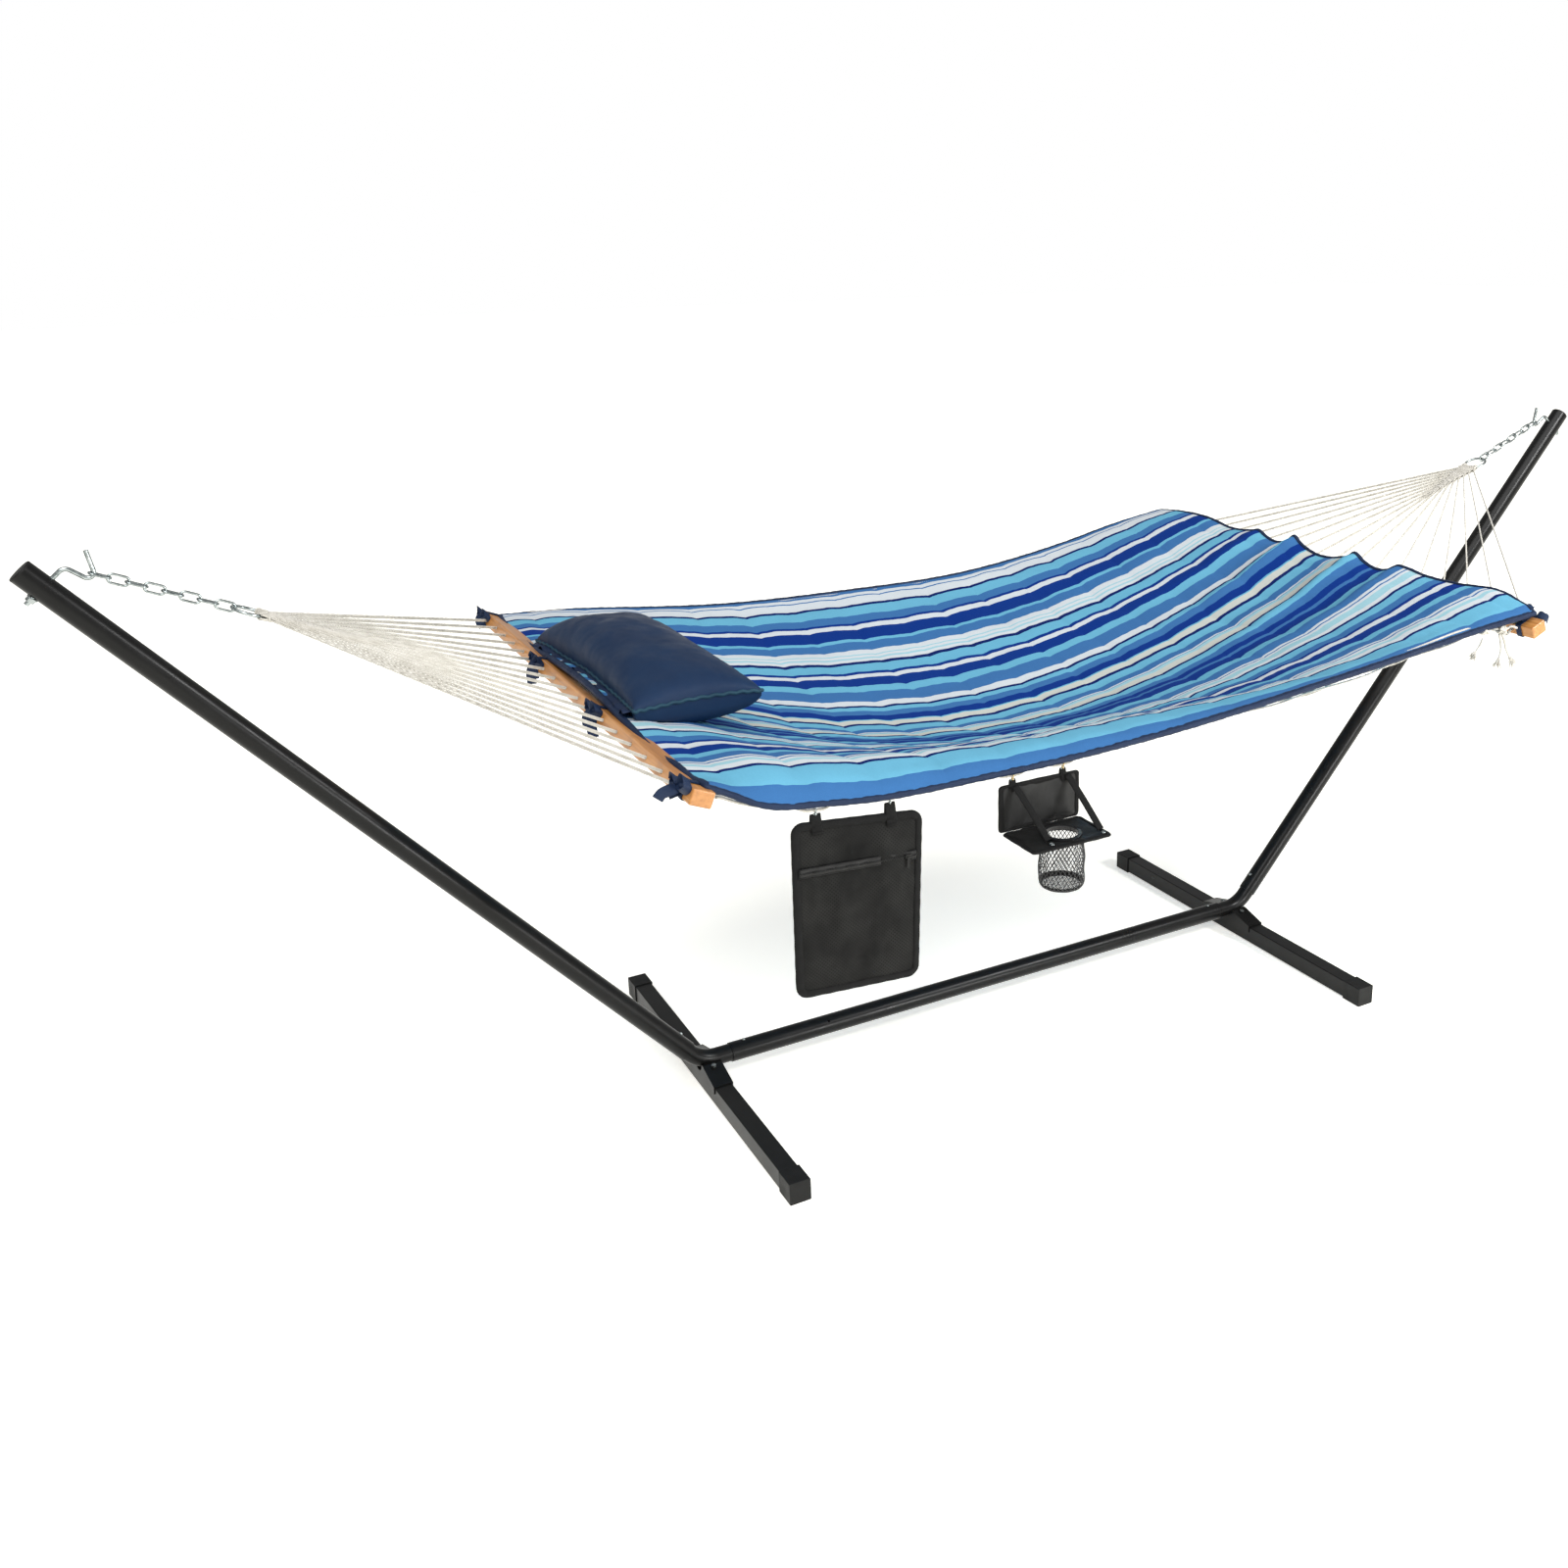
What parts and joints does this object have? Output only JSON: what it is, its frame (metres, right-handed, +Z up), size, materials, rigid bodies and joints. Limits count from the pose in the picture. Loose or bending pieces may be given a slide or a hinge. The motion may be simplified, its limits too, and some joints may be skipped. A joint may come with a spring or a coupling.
{
  "type": "hammock on stand",
  "caption": "Quilted hammock with spreader bars, pillow, storage bag and drink tray, hung by chains from a tubular steel stand.",
  "frame": {"origin": "on the floor, under the middle of the stand's base tube, halfway between the two feet", "axes": "+X along the hammock from the pillow end to the foot end, +Y across it away from the bag and drink tray, +Z up"},
  "size_m": [3.656, 1.4149, 1.2867],
  "materials": {
    "black_paint": "satin black powder coat",
    "black_plastic": "matt black moulded plastic",
    "zinc": "bright zinc plating",
    "spring_steel": "spring steel",
    "bamboo": "varnished bamboo",
    "cotton_rope": "off-white cotton rope",
    "striped_fabric": "quilted polyester with lengthwise blue, aqua and white stripes",
    "navy_fabric": "navy polyester",
    "black_mesh": "black polyester mesh",
    "black_webbing": "black nylon webbing",
    "black_nylon": "black coated nylon",
    "brass": "bright brass wire"
  },
  "bodies": {
    "stand": {"base_tube": "black_paint", "left_elbow": "black_paint", "right_elbow": "black_paint", "left_arm_tube": "black_paint", "right_arm_tube": "black_paint", "left_arm_cap": "black_plastic", "right_arm_cap": "black_plastic", "left_saddle": "black_paint", "right_saddle": "black_paint", "left_foot_beam": "black_paint", "right_foot_beam": "black_paint", "left_foot_cap_front": "black_plastic", "right_foot_cap_front": "black_plastic", "left_foot_cap_back": "black_plastic", "right_foot_cap_back": "black_plastic", "saddle_bolts": "zinc", "saddle_nuts": "zinc", "button_springs": "spring_steel", "left_hook_bolt": "zinc", "right_hook_bolt": "zinc", "hook_nuts": "zinc", "hook_washers": "zinc"},
    "left_base_button_body": {"left_base_button": "zinc"},
    "right_base_button_body": {"right_base_button": "zinc"},
    "left_arm_button_body": {"left_arm_button": "zinc"},
    "right_arm_button_body": {"right_arm_button": "zinc"},
    "hammock": {"left_chain": "zinc", "right_chain": "zinc", "left_ring": "zinc", "right_ring": "zinc", "left_clew_weave": "cotton_rope", "right_clew_weave": "cotton_rope", "left_clew_strings": "cotton_rope", "right_clew_strings": "cotton_rope", "left_spreader_bar": "bamboo", "right_spreader_bar": "bamboo", "rope_net": "cotton_rope", "net_edge_cords": "cotton_rope", "net_knots": "cotton_rope", "bed_pad": "striped_fabric", "pad_ties": "navy_fabric", "pillow": "navy_fabric", "rope_tail_1": "cotton_rope", "rope_tail_2": "cotton_rope", "rope_tail_3": "cotton_rope"},
    "storage_bag": {"bag_body": "black_mesh", "bag_straps": "black_webbing", "bag_hooks": "zinc", "bag_rings": "zinc", "zipper_track": "black_plastic"},
    "zipper_slider_body": {"zipper_slider": "zinc"},
    "cup_tray": {"tray_panel": "black_nylon", "tray_tabs": "black_webbing", "tray_hooks": "brass", "tray_rings": "zinc", "tray_straps": "black_webbing"},
    "cup_shelf": {"tray_shelf": "black_nylon", "cup_rim": "black_plastic", "cup_net": "black_mesh"}
  },
  "joints": [
    {"name": "left_base_button_press", "type": "slide", "parent": "stand", "child": "left_base_button_body", "axis": [0, 0, -1], "range_m": [0, 0.005], "stiffness_N_per_m": 800, "springref_m": -0.004},
    {"name": "right_base_button_press", "type": "slide", "parent": "stand", "child": "right_base_button_body", "axis": [0, 0, -1], "range_m": [0, 0.005], "stiffness_N_per_m": 800, "springref_m": -0.004},
    {"name": "left_arm_button_press", "type": "slide", "parent": "stand", "child": "left_arm_button_body", "axis": [-0.7478, 0, -0.6639], "range_m": [0, 0.005], "stiffness_N_per_m": 800, "springref_m": -0.004},
    {"name": "right_arm_button_press", "type": "slide", "parent": "stand", "child": "right_arm_button_body", "axis": [0.7478, 0, -0.6639], "range_m": [0, 0.005], "stiffness_N_per_m": 800, "springref_m": -0.004},
    {"name": "hammock_swing", "type": "hinge", "parent": "stand", "child": "hammock", "pos_m": [0, 0, 1.24662], "axis": [1, 0, 0], "range_deg": [-25, 25]},
    {"name": "bag_swing", "type": "hinge", "parent": "hammock", "child": "storage_bag", "pos_m": [-0.749, -0.641, 0.85811], "axis": [0.9982, 0, -0.0605], "range_deg": [-45, 45]},
    {"name": "zipper_slide", "type": "slide", "parent": "storage_bag", "child": "zipper_slider_body", "axis": [-0.9982, 0, 0.0595], "range_m": [0, 0.19]},
    {"name": "tray_swing", "type": "hinge", "parent": "hammock", "child": "cup_tray", "pos_m": [-0.369, -0.641, 0.84389], "axis": [1, 0, 0.0097], "range_deg": [-45, 33]},
    {"name": "shelf_fold", "type": "hinge", "parent": "cup_tray", "child": "cup_shelf", "pos_m": [-0.3125, -0.6459, 0.74], "axis": [-1, 0, 0], "range_deg": [0, 65], "deforming": ["tray_straps"]}
  ]
}
